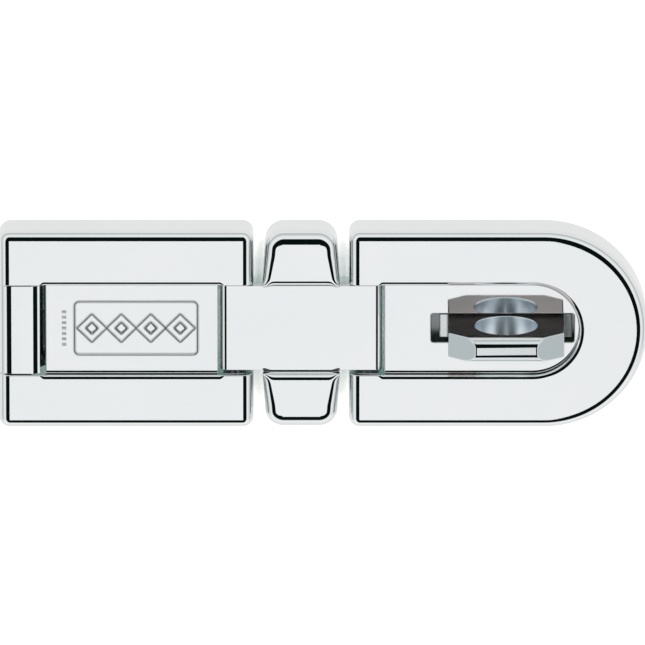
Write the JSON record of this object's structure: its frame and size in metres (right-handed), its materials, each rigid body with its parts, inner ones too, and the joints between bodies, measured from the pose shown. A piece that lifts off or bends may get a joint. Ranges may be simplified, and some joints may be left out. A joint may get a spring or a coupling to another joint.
{
  "type": "hasp and staple",
  "caption": "Double-jointed security hasp that folds over a padlock staple, with pressed covers, hinge pins and fixing plates.",
  "frame": {"origin": "on the mounting surface, under the middle of the closed hasp", "axes": "+X runs along the hasp from the fixed hinge to the staple, +Y runs across it, +Z points away from the mounting surface"},
  "size_m": [0.155, 0.0494, 0.0272],
  "materials": {
    "cover_steel": "bright polished plating",
    "strap_steel": "bright polished plating",
    "staple_steel": "bright plating over a forged surface",
    "plate_steel": "satin zinc plating",
    "lug_steel": "satin zinc plating",
    "pin_steel": "hardened, ground"
  },
  "bodies": {
    "mounted_plates": {"hinge_plate": "strap_steel", "staple_plate": "plate_steel", "staple_eye": "staple_steel"},
    "left_leaf": {"left_cover": "cover_steel", "left_end_lug_front": "lug_steel", "left_end_lug_back": "lug_steel", "left_link_lug_front": "lug_steel", "left_link_lug_back": "lug_steel", "end_hinge_pin": "pin_steel", "left_link_pin": "pin_steel"},
    "link": {"link_strap": "strap_steel", "middle_cover": "cover_steel"},
    "right_leaf": {"right_cover": "cover_steel", "right_link_lug_front": "lug_steel", "right_link_lug_back": "lug_steel", "right_link_pin": "pin_steel"}
  },
  "joints": [
    {"name": "end_hinge", "type": "hinge", "parent": "mounted_plates", "child": "left_leaf", "pos_m": [-0.07285, 0, 0.0063], "axis": [0, -1, 0], "range_deg": [0, 180]},
    {"name": "left_link_hinge", "type": "hinge", "parent": "left_leaf", "child": "link", "pos_m": [-0.021, 0, 0.0052], "axis": [0, -1, 0], "range_deg": [0, 90]},
    {"name": "right_link_hinge", "type": "hinge", "parent": "link", "child": "right_leaf", "pos_m": [0.0106, 0, 0.0052], "axis": [0, -1, 0], "range_deg": [0, 90]}
  ]
}
